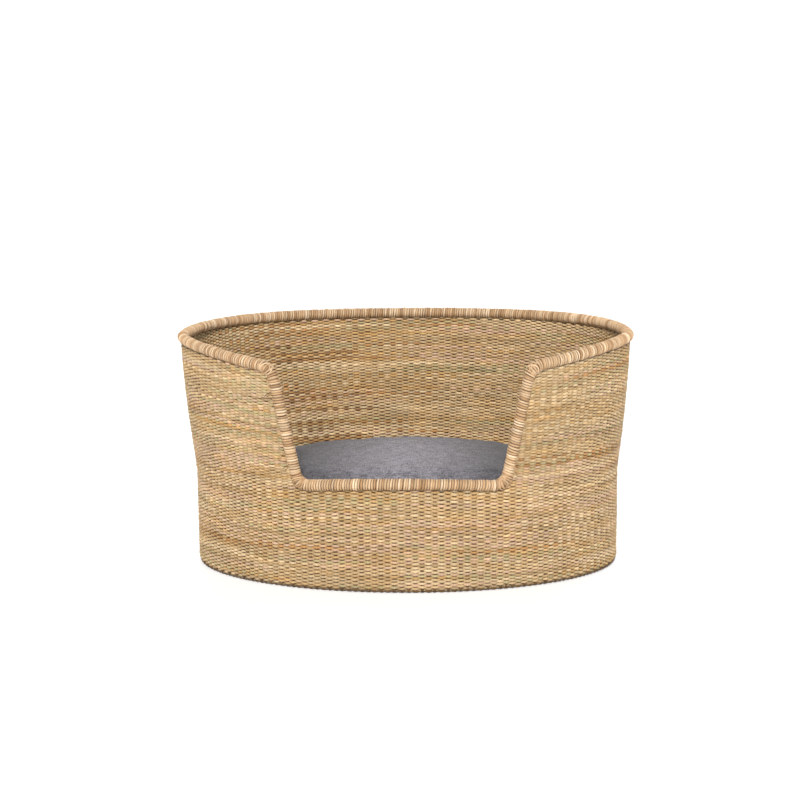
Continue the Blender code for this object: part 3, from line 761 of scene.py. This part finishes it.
def weave_row(strands, level, parity):
    """One weaver that passes outside every other stake, and inside those between."""
    closed = level < 1.0
    if closed:
        number = np.arange(STAKES * STEPS_PER_STAKE) / STEPS_PER_STAKE
    else:
        start = number_of(side_share(level))
        number = np.linspace(start, STAKES - start, round((STAKES - 2.0 * start) * STEPS_PER_STAKE))
    share = share_of(number)
    wave = np.cos(math.pi * (number + parity))
    count = len(number)
    z = row_z(level, share) + smooth_noise(count, *ROW_DRIFT, closed)
    z += smooth_noise(count, *ROW_WOBBLE, closed)
    z = np.maximum(z, LOWEST_WEAVER)
    out = outward(share, z)
    swing = WEAVER_SWING * wave + smooth_noise(count, *SWING_WOBBLE, closed)
    swing -= UNDERCUT * np.clip(1.0 - z / UNDERCUT_HEIGHT, 0.0, 1.0)
    path = wall(share, z) + out * swing[:, None]
    full = np.abs(wave)
    wide = WEAVER_SQUEEZED + (WEAVER_WIDE - WEAVER_SQUEEZED) * full
    wobble = 1.0 + smooth_noise(count, *WIDTH_WOBBLE, closed)
    wide = wide * (wobble + smooth_noise(count, *WIDTH_DRIFT, closed))
    thick = WEAVER_THICK * (1.0 + smooth_noise(count, *THICKNESS_WOBBLE, closed))
    shade = np.where(wave < 0.0, 1.12, 1.0)  # painted light: paler where it passes on the nest's side, to lift the shade inside the basket
    # painted shade: darker where the weaver goes between two stakes, and darker along the wall's foot
    shade = shade * (0.9 + 0.1 * full) * np.clip(z / FOOT_SHADE_HEIGHT, 0.35, 1.0)
    below = top_z(share) - z
    shade = shade * np.clip((below - WRAP_RADIUS) / 0.004 + 0.4, 0.4, 1.0)  # painted shade: darker just under the wraps
    tint = weaver_tints(path, number) * shade[:, None]
    strands.add(path, out, wide, thick, tint, closed=closed)


def make_weavers():
    levels = [(k + 0.5) / LOWER_ROWS for k in range(LOWER_ROWS)]
    levels += [1.0 + (k + 0.5) / UPPER_ROWS for k in range(UPPER_ROWS)]
    for number, first in enumerate(range(0, len(levels), ROWS_PER_PIECE), start=1):
        strands = Strands()
        for row in range(first, min(first + ROWS_PER_PIECE, len(levels))):
            weave_row(strands, levels[row], row % 2)
        strands.piece(f"wall_weavers_{number}", LOOKS["rush"], "basket", "woven_straw", "wall_weave")


def make_stakes():
    strands = Strands(chunk=STAKE_POINTS, sheet_columns=4)
    for number in range(STAKES):
        share = float(share_of(float(number)))
        z = np.linspace(STAKE_FOOT, float(top_z(share)) - 0.001, STAKE_POINTS)
        shares = share + smooth_noise(STAKE_POINTS, *STAKE_LEAN) / WAY_ROUND
        # rust-brown stakes, darkened further as painted shade in the gaps between the stitches
        tint = STRAW[RUST] * RNG.uniform(0.24, 0.46)
        strands.add(wall(shares, z), outward(shares, z), STAKE_WIDE, STAKE_THICK, tint)
    strands.piece("wall_stakes", LOOKS["rush"], "basket", "woven_straw", "wall_weave")


SPOKES = 64
SPOKE_POINTS = 24
FLOOR_RINGS = 26
FLOOR_Z = 0.0036
MIDDLE_STRANDS = 11
MIDDLE_POINTS = 20


def floor_oval(angle, inset):
    half_width = BASE_HALF_WIDTH - inset
    half_depth = BASE_HALF_DEPTH - inset
    return np.stack([half_width * np.cos(angle), CENTRE_Y + half_depth * np.sin(angle)], axis=-1)


def make_floor_weave():
    """Pairs of ovals woven round spokes, and straight strands across the middle."""
    strands = Strands(chunk=48, sheet_columns=8)
    outermost, innermost = 0.0072, 0.172  # distances in from the floor's edge
    for ring in range(FLOOR_RINGS):
        inset = outermost + (innermost - outermost) * ring / (FLOOR_RINGS - 1)
        number = np.arange(SPOKES * STEPS_PER_STAKE) / STEPS_PER_STAKE
        angle = 2.0 * math.pi * number / SPOKES
        for phase in (0.0, math.pi):
            wave = np.cos(math.pi * number + phase)
            cross = np.sin(math.pi * number + phase)
            flat = floor_oval(angle, inset + 0.0011 * cross)
            path = np.concatenate([flat, (FLOOR_Z + 0.0017 * wave)[:, None]], axis=1)
            # painted shade: darker where each oval goes between two spokes
            tint = weaver_tints(path, number) * (0.75 + 0.2 * np.abs(wave))[:, None]
            strands.add(path, UP, wide=0.0030, thick=0.0013, tint=tint, closed=True)
    for number in range(SPOKES):
        angle = 2.0 * math.pi * number / SPOKES
        flat = floor_oval(np.full(SPOKE_POINTS, angle), np.linspace(0.0056, 0.178, SPOKE_POINTS))
        path = np.concatenate([flat, np.full((SPOKE_POINTS, 1), FLOOR_Z)], axis=1)
        strands.add(path, UP, wide=0.002, thick=0.0011, tint=STRAW[1] * 0.8)
    for number in range(MIDDLE_STRANDS):
        x = np.linspace(-0.105, 0.105, MIDDLE_POINTS)
        y = np.full(MIDDLE_POINTS, CENTRE_Y - 0.0125 + 0.0025 * number)
        path = np.stack([x, y, np.full(MIDDLE_POINTS, FLOOR_Z)], axis=1)
        strands.add(path, UP, wide=0.0013, thick=0.0014, tint=STRAW[number % 4] * 0.85)
    strands.piece("floor_weave", LOOKS["rush"], "basket", "woven_straw", "base_weave")


# ---- border


def twine_tints(turn):
    """Tints along a winding, one to a turn."""
    picks = RNG.choice(len(TWINE), size=int(turn[-1]) + 2, p=TWINE_WEIGHTS)
    tints = TWINE[picks] * RNG.uniform(0.88, 1.1, (len(picks), 1))
    return tints[turn.astype(int)]


def wind(strands, start, end, pitch=TWINE_PITCH, line=TWINE_LINE, wide=TWINE_WIDE, thick=TWINE_THICK,
         lean=0.0, shade=1.0):
    """Twine wound round the border rod from one distance along it to another."""
    turns = (end - start) / pitch
    count = max(8, round(turns * POINTS_PER_TURN))
    turn = np.linspace(0.0, turns, count)
    distance = start + turn * pitch + smooth_noise(count, *TWINE_DRIFT)
    distance += smooth_noise(count, *TWINE_WOBBLE)
    angle = 2.0 * math.pi * turn
    distance = distance + lean * np.sin(angle)
    point, out, into = BORDER.frames(distance)
    radial = out * np.sin(angle)[:, None] + into * np.cos(angle)[:, None]
    radius = line + smooth_noise(count, *TWINE_LOOSENESS) + smooth_noise(count, *TWINE_LUMPS)
    swell = 1.0 + smooth_noise(count, *TWINE_SWELL)
    strands.add(point + radial * radius[:, None], radial, wide * swell, thick * (0.9 + 0.1 * swell),
                twine_tints(turn) * shade, twist=700.0, fibre_scale=60.0)


def make_wraps():
    half = 0.5 * TIE_LENGTH
    corners = BORDER.corners
    stretches = {
        "right_side_wrap": (corners["lower_right"] + half, corners["upper_right"] - half),
        "rim_wrap": (corners["upper_right"] + half, corners["upper_left"] - half),
        "left_side_wrap": (corners["upper_left"] + half, corners["lower_left"] - half),
        "sill_wrap": (corners["lower_left"] + half, corners["lower_right"] + BORDER.length - half),
    }
    for name, (start, end) in stretches.items():
        strands = Strands(sides=8, chunk=14, sheet_columns=12)
        wind(strands, start - 0.001, end + 0.001)
        wind(strands, start - 0.001 + 0.5 * TWINE_PITCH, end + 0.001, **UNDER_LAYER)
        strands.piece(f"{name}_twine", LOOKS["twine"], "basket", "border_twine", name)
    for name, middle in corners.items():
        strands = Strands(sides=8, chunk=14, sheet_columns=6)
        wind(strands, middle - half - 0.0005, middle + half + 0.0005, pitch=0.0031, line=0.0064,
             wide=0.00118)
        wind(strands, middle - half, middle + half, **UNDER_LAYER)
        for lean in (0.0055, -0.0055):  # crossing turns over the others
            wind(strands, middle - CROSSING_REACH, middle + CROSSING_REACH, line=0.0072, wide=0.0011,
                 thick=0.0009, lean=lean)
        strands.piece(f"{name}_tie_twine", LOOKS["twine"], "basket", "border_twine", f"{name}_tie")


def loose_end(strands, distance, side, reach, curl, tint):
    """A strand's end that sticks out of the weave beside the border."""
    point, out, into = (a[0] for a in BORDER.frames(np.array([distance])))
    along = np.cross(out, into)
    t = np.linspace(0.0, 1.0, 12)[:, None]
    path = point + into * (0.006 + reach * t)
    path = path + out * (0.0048 + curl * np.sin(2.4 * t)) + along * side * t**2
    taper = 0.0006 * (1.0 - 0.7 * t[:, 0])
    strands.add(path, out, taper * 1.4, taper, tint, fibre_scale=200.0)


def make_loose_ends():
    strands = Strands(chunk=12, sheet_columns=3)
    dark, pale = STRAW[BROWN] * 0.5, STRAW[OCHRE] * 0.8
    upper_left, lower_left = BORDER.corners["upper_left"], BORDER.corners["lower_left"]
    lower_right = BORDER.corners["lower_right"]
    for distance, side, reach, curl, tint in (
        (upper_left + 0.030, 0.006, 0.012, 0.0016, dark),
        (upper_left + 0.037, -0.004, 0.014, 0.0022, dark),
        (upper_left + 0.046, 0.005, 0.009, 0.0012, pale),
        (lower_left - 0.030, -0.004, 0.010, 0.0016, dark),
        (lower_left - 0.024, 0.003, 0.008, 0.002, dark),
        (lower_left - 0.040, 0.004, 0.011, 0.001, pale),
        (lower_right + 0.018, -0.005, 0.009, 0.0018, pale),
        (lower_right + 0.025, 0.004, 0.007, 0.0014, dark),
    ):
        loose_end(strands, distance, side, reach, curl, tint)
    strands.piece("loose_ends", LOOKS["rush"], "basket", "woven_straw")


# ---- cushion


CUSHION_PROFILE = (  # share of the plan and height, from the middle of the underside to the crown
    (0.0, 0.0085), (0.5, 0.0083), (0.86, 0.0083), (0.95, 0.0105), (0.985, 0.021), (0.99, 0.05),
    (0.987, 0.085), (0.975, 0.106), (0.95, 0.117), (0.9, 0.1235), (0.75, 0.1285), (0.45, 0.1315),
    (0.0, 0.1325),
)


def cushion_shape():
    """The cushion's closed form before it is puffed up."""
    count = CUSHION_COLUMNS
    angle = 2.0 * math.pi * np.arange(count) / count
    rings = []
    for share, z in CUSHION_PROFILE[1:-1]:
        rings.append(np.stack([CUSHION_HALF_WIDTH * share * np.cos(angle),
                               CENTRE_Y + CUSHION_HALF_DEPTH * share * np.sin(angle),
                               np.full(count, z)], axis=1))
    points = [(0.0, CENTRE_Y, CUSHION_PROFILE[0][1]), *np.concatenate(rings).tolist(),
              (0.0, CENTRE_Y, CUSHION_PROFILE[-1][1])]
    faces = []
    for i in range(count):
        k = (i + 1) % count
        faces.append((0, 1 + k, 1 + i))
        for ring in range(len(rings) - 1):
            here, there = 1 + ring * count, 1 + (ring + 1) * count
            faces.append((here + i, here + k, there + k, there + i))
        last = 1 + (len(rings) - 1) * count
        faces.append((last + i, last + k, len(points) - 1))
    mesh = bpy.data.meshes.new("cushion")
    mesh.from_pydata(points, [], faces)
    return mesh


def applied(piece):
    """The piece's mesh with its modifiers made real."""
    mesh = bpy.data.meshes.new_from_object(piece.evaluated_get(bpy.context.evaluated_depsgraph_get()))
    piece.modifiers.clear()
    piece.data = mesh


def corners_of(mesh):
    found = np.empty(3 * len(mesh.vertices), np.float32)
    mesh.vertices.foreach_get("co", found)
    return found.reshape(-1, 3).astype(float)


def puffed(piece):
    """Remeshes the piece and puffs it up as cloth."""
    remesh = piece.modifiers.new("voxels", "REMESH")
    remesh.mode, remesh.voxel_size = "VOXEL", 0.0052
    applied(piece)
    rest = corners_of(piece.data)
    cloth = piece.modifiers.new("cloth", "CLOTH")
    settings = cloth.settings
    settings.quality = 5
    settings.mass = 0.25
    settings.tension_stiffness = settings.compression_stiffness = 18.0
    settings.bending_stiffness = 0.4
    settings.use_pressure = True
    settings.uniform_pressure_force = 4.0
    settings.effector_weights.gravity = 0.0
    cloth.collision_settings.use_collision = False
    scene = bpy.context.scene
    for number in range(1, CUSHION_FRAMES + 1):
        scene.frame_set(number)
        bpy.context.view_layer.update()
    applied(piece)
    scene.frame_set(1)
    moved = corners_of(piece.data) - rest
    size = np.linalg.norm(moved, axis=1, keepdims=True)
    moved *= np.minimum(1.0, CUSHION_MOVE_LIMIT / np.maximum(size, 1e-9))
    fill(piece.data.vertices, "co", rest + moved)
    piece.data.update()


def fitted(points):
    """The cushion's points, flat underneath, inside its place and clear of the zip."""
    x, y, z = points.T.copy()
    lowest = CUSHION_BOTTOM + 0.0003
    z = np.maximum(z, lowest)
    flattened = lowest + (z - CUSHION_BOTTOM) * np.clip((z - 0.009) / 0.0045, 0, 1)
    z = np.where(z < 0.0135, flattened, z)
    crown = CROWN_RISE * np.clip(1.0 - (x / CROWN_REACH) ** 2, 0.0, 1.0)
    z += crown * np.clip((z - 0.09) / 0.03, 0.0, 1.0)
    knee = CUSHION_TOP - 0.006
    z = np.where(z > knee, knee + 0.006 * np.tanh((z - knee) / 0.006), z)
    across, along = x / CUSHION_HALF_WIDTH, (y - CENTRE_Y) / CUSHION_HALF_DEPTH
    reach = np.hypot(across, along)
    limit = 1.0 + 0.008 * np.exp(-((z - 0.055) / 0.035) ** 2)  # the sides may stand out a little
    shrink = np.minimum(1.0, limit / np.maximum(reach, 1e-9))
    x, y = x * shrink, CENTRE_Y + (y - CENTRE_Y) * shrink
    seam = 0.0022 * np.exp(-((z - SEAM_Z) / 0.0028) ** 2) * np.clip((reach - 0.75) / 0.15, 0.0, 1.0)
    x = x * (1.0 - seam / CUSHION_HALF_WIDTH)
    y = CENTRE_Y + (y - CENTRE_Y) * (1.0 - seam / CUSHION_HALF_DEPTH)
    centre_y = CENTRE_Y + CUSHION_HALF_DEPTH - ZIP_RADIUS
    angle = np.arctan2(x, y - centre_y)
    radius = np.hypot(x, y - centre_y)
    from_zip = np.abs(z - ZIP_Z)
    end = np.clip((ZIP_RECESS_REACH - np.abs(angle) * ZIP_RADIUS) / 0.006, 0.0, 1.0)
    depth = np.interp(from_zip, [0.0, 0.0118, 0.0142, 0.017], [0.0028, 0.0028, 0.0007, 0.0007])
    hold = np.interp(from_zip, [0.017, 0.034], [1.0, 0.0]) * end * (y > centre_y + 0.5 * ZIP_RADIUS)
    wanted = radius + (ZIP_RADIUS - depth - radius) * hold
    x, y = wanted * np.sin(angle), centre_y + wanted * np.cos(angle)
    return np.stack([x, y, z], axis=1)


def make_cushion():
    piece = added("cushion", cushion_shape())
    puffed(piece)
    subdivide = piece.modifiers.new("subdivide", "SUBSURF")
    subdivide.levels = subdivide.render_levels = 1
    applied(piece)
    fill(piece.data.vertices, "co", fitted(corners_of(piece.data)))
    piece.data.update()
    piece.data.shade_smooth()
    place(piece, LOOKS["cloth"], "cushion", "grey_melange_cloth",
          "cushion_core", "cover_top_panel", "cover_bottom_panel", "cover_side_band")
    return piece


def make_seam_stitches(cushion):
    """Short stitches on both sides of the seam, laid on the cushion's own surface."""
    tree = BVHTree.FromObject(cushion, bpy.context.evaluated_depsgraph_get())
    strands = Strands(chunk=5, sheet_columns=20)
    for number in range(SEAM_STITCHES):
        path, normals = [], []
        for step in np.linspace(-0.3, 0.3, 5):
            angle = 2.0 * math.pi * (number + step) / SEAM_STITCHES
            across, along = math.cos(angle) * CUSHION_HALF_WIDTH, math.sin(angle) * CUSHION_HALF_DEPTH
            way = Vector((across, along, 0.0))
            start = Vector((0.0, CENTRE_Y, SEAM_Z + 0.0042)) + way * 1.3
            hit, normal, _, _ = tree.ray_cast(start, -way.normalized())
            if hit is None:
                break
            lift = 0.0001 - 0.0006 * (abs(step) / 0.3) ** 4
            path.append(hit + normal * lift)
            normals.append(normal)
        if len(path) == 5:
            strands.add(path, normals, wide=0.00042, thick=0.00036, tint=linear(150, 150, 160),
                        twist=2500.0, fibre_scale=400.0)
    strands.piece("cushion_seam_stitches", LOOKS["thread"], "cushion", "grey_melange_cloth")


def zip_place(arc, depth, z):
    """Points on the zip's arc: arc is the distance from its middle towards +X."""
    centre_y = CENTRE_Y + CUSHION_HALF_DEPTH - ZIP_RADIUS
    angle = np.asarray(arc) / ZIP_RADIUS
    radius = ZIP_RADIUS - np.asarray(depth)
    x, y, z = np.broadcast_arrays(radius * np.sin(angle), centre_y + radius * np.cos(angle), z)
    return np.stack([x, y, z], axis=-1)


def zip_outward(arc):
    angle = np.asarray(arc) / ZIP_RADIUS
    return np.stack([np.sin(angle), np.cos(angle), np.zeros_like(angle)], axis=-1)


FLAP_SECTION = (  # depth, and height from the zip's middle, round one folded edge
    (0.00115, 0.0152), (0.00012, 0.0148), (0.00005, 0.010), (-0.00005, 0.0062), (0.0001, 0.0054),
    (0.0006, 0.0051), (0.0011, 0.0054), (0.0012, 0.0065), (0.00118, 0.012),
)


def make_zip_flaps():
    """Folded cloth edges on either side of the zip, with a row of stitches in each."""
    arc = np.linspace(-0.1728, 0.1728, 121)
    for name, way in (("upper", 1.0), ("lower", -1.0)):
        edges = [zip_place(arc, depth, ZIP_Z + way * height) for depth, height in FLAP_SECTION]
        rings = np.stack(edges, axis=1)
        count = len(edges)
        points = rings.reshape(-1, 3)
        faces = []
        for i in range(len(arc) - 1):
            for j in range(count):
                k = (j + 1) % count
                quad = (i * count + j, i * count + k, (i + 1) * count + k, (i + 1) * count + j)
                faces.append(quad if way > 0 else quad[::-1])
        first, last = tuple(range(count)), tuple((len(arc) - 1) * count + j for j in range(count))
        faces += [first[::-1], last] if way > 0 else [first, last[::-1]]
        mesh = bpy.data.meshes.new(f"zip_flap_{name}")
        mesh.from_pydata(points.tolist(), [], faces)
        mesh.shade_smooth()
        flap = added(f"zip_flap_{name}", mesh)
        place(flap, LOOKS["cloth"], "cushion", "grey_melange_cloth", f"zip_panel_{name}")
        strands = Strands(chunk=5, sheet_columns=12)
        for middle in np.arange(-0.169, 0.169, 0.0036):
            along = middle + np.linspace(-0.0013, 0.0013, 5)
            lift = np.array([-0.0001, 0.0002, 0.00028, 0.0002, -0.0001])
            path = zip_place(along, -lift, ZIP_Z + way * 0.0083)
            strands.add(path, zip_outward(along), wide=0.0003, thick=0.00026,
                        tint=linear(146, 146, 156), twist=3000.0, fibre_scale=500.0)
        strands.piece(f"zip_stitches_{name}", LOOKS["thread"], "cushion", "grey_melange_cloth")


def make_zip_coils():
    """Each row of teeth as one wound filament."""
    for name, way in (("upper", 1.0), ("lower", -1.0)):
        turn = np.linspace(0.0, COIL_TURNS, COIL_TURNS * 10)
        angle = 2.0 * math.pi * turn
        arc = -0.1545 + 0.309 * turn / COIL_TURNS + way * 0.00034  # one row between the other's turns
        height = ZIP_Z + way * (0.00072 - 0.00062 * np.cos(angle))
        depth = 0.00165 - 0.00052 * np.sin(angle)
        path = zip_place(arc, depth, height)
        middle = zip_place(arc, 0.00165, ZIP_Z + way * 0.00072)
        strands = Strands(sides=6, chunk=40, sheet_columns=6)
        strands.add(path, path - middle, wide=0.00024, thick=0.00022, tint=linear(122, 122, 128),
                    fibre_scale=300.0)
        node = f"zip_coil_{name}"
        strands.piece(f"{node}_turns", LOOKS["coil"], "cushion", "zip_coil_plastic", node)


def dress_cad_nodes():
    """Materials for the CAD nodes that stay as they are, and softened edges on the metal ones."""
    nodes = frame["nodes"]
    looks = {"border_rod": "cane", "zip_tape_upper": "tape", "zip_tape_lower": "tape",
             "zip_slider": "metal", "zip_pull": "metal", "zip_stop_closed_end": "metal",
             "zip_stop_open_end": "metal"}
    for name, look in looks.items():
        nodes[name].data.materials.clear()
        nodes[name].data.materials.append(LOOKS[look])
        if look == "metal":
            bevel = nodes[name].modifiers.new("bevel", "BEVEL")
            bevel.width, bevel.segments, bevel.limit_method = METAL_BEVEL, 2, "ANGLE"


HOOP_POINTS = 300
HOOP_JOINT_EVERY = 43


def make_hoop():
    """Peeled cane hoop with its joints, in the corner under the cushion."""
    low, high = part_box("base_hoop")
    radius = 0.5 * (high.z - low.z)
    count = HOOP_POINTS
    angle = 2.0 * math.pi * np.arange(count) / count
    flat = floor_oval(angle, BASE_HALF_WIDTH - high.x + radius)
    path = np.concatenate([flat, np.full((count, 1), 0.5 * (low.z + high.z))], axis=1)
    joints = np.exp(-((np.arange(count) % HOOP_JOINT_EVERY - 20) / 1.2) ** 2)
    size = radius * (0.94 + 0.05 * joints)
    tone = (1.0 - 0.3 * joints) * (1.0 + smooth_noise(count, 12, 0.05, True))
    strands = Strands(sides=10, chunk=60, sheet_columns=1)
    strands.add(path, UP, size, size, linear(198, 160, 104) * tone[:, None], closed=True)
    strands.piece("base_hoop_cane", LOOKS["rush"], "basket", "border_rod_cane", "base_hoop")


# ---- stage


def make_floor():
    """Pale floor that the basket stands on."""
    size = 8.0
    mesh = bpy.data.meshes.new("floor")
    corners = [(-size, -size, 0.0), (size, -size, 0.0), (size, size, 0.0), (-size, size, 0.0)]
    mesh.from_pydata(corners, [], [(0, 1, 2, 3)])
    floor = added("floor", mesh)
    look = Look("floor_paint", roughness=0.9, specular=0.1)
    look.shader.inputs["Base Color"].default_value = (0.95, 0.95, 0.95, 1.0)
    mesh.materials.append(look.material)


def make_surround():
    """White all round, and dimmer overhead."""
    world = bpy.data.worlds.new("studio")
    world.use_nodes = True
    tree = world.node_tree
    tree.nodes["Background"].inputs["Color"].default_value = (1.0, 1.0, 1.0, 1.0)
    height = tree.nodes.new("ShaderNodeSeparateXYZ")
    tree.links.new(tree.nodes.new("ShaderNodeTexCoord").outputs["Generated"], height.inputs[0])
    dimmed = tree.nodes.new("ShaderNodeMapRange")
    for socket, value in (("From Min", 0.2), ("From Max", 0.4), ("To Min", 1.08), ("To Max", 0.34)):
        dimmed.inputs[socket].default_value = value
    tree.links.new(height.outputs["Z"], dimmed.inputs["Value"])
    tree.links.new(dimmed.outputs["Result"], tree.nodes["Background"].inputs["Strength"])
    bpy.context.scene.world = world


def make_lights():
    """Two soft suns: name, azimuth, elevation, softness in degrees and strength."""
    for name, azimuth, elevation, softness, strength in (
        ("key", 0.0, 37.0, 13.0, 3.7),
        ("back_light", 172.0, 48.0, 40.0, 1.2),
    ):
        light = bpy.data.lights.new(name, "SUN")
        light.angle, light.energy = math.radians(softness), strength
        lamp = added(name, light)
        lamp.rotation_euler = (math.radians(90.0 - elevation), 0.0, math.radians(azimuth))


def make_camera():
    """The photograph's point of view."""
    scene = bpy.context.scene
    scene.view_settings.view_transform = "Standard"
    lens = bpy.data.cameras.new("camera")
    lens.lens = 71.95
    scene.camera = added("camera", lens)
    turn = Matrix.Rotation(CAMERA_TURN, 4, "Z") @ Matrix.Rotation(0.5 * math.pi - CAMERA_DIP, 4, "X")
    turn = turn @ Matrix.Rotation(CAMERA_ROLL, 4, "Z")
    scene.camera.matrix_world = Matrix.Translation(CAMERA_PLACE) @ turn


make_floor()
make_surround()
make_lights()
make_camera()
make_weavers()
make_stakes()
make_floor_weave()
make_hoop()
make_wraps()
make_loose_ends()
cushion = make_cushion()
make_seam_stitches(cushion)
make_zip_flaps()
make_zip_coils()
dress_cad_nodes()
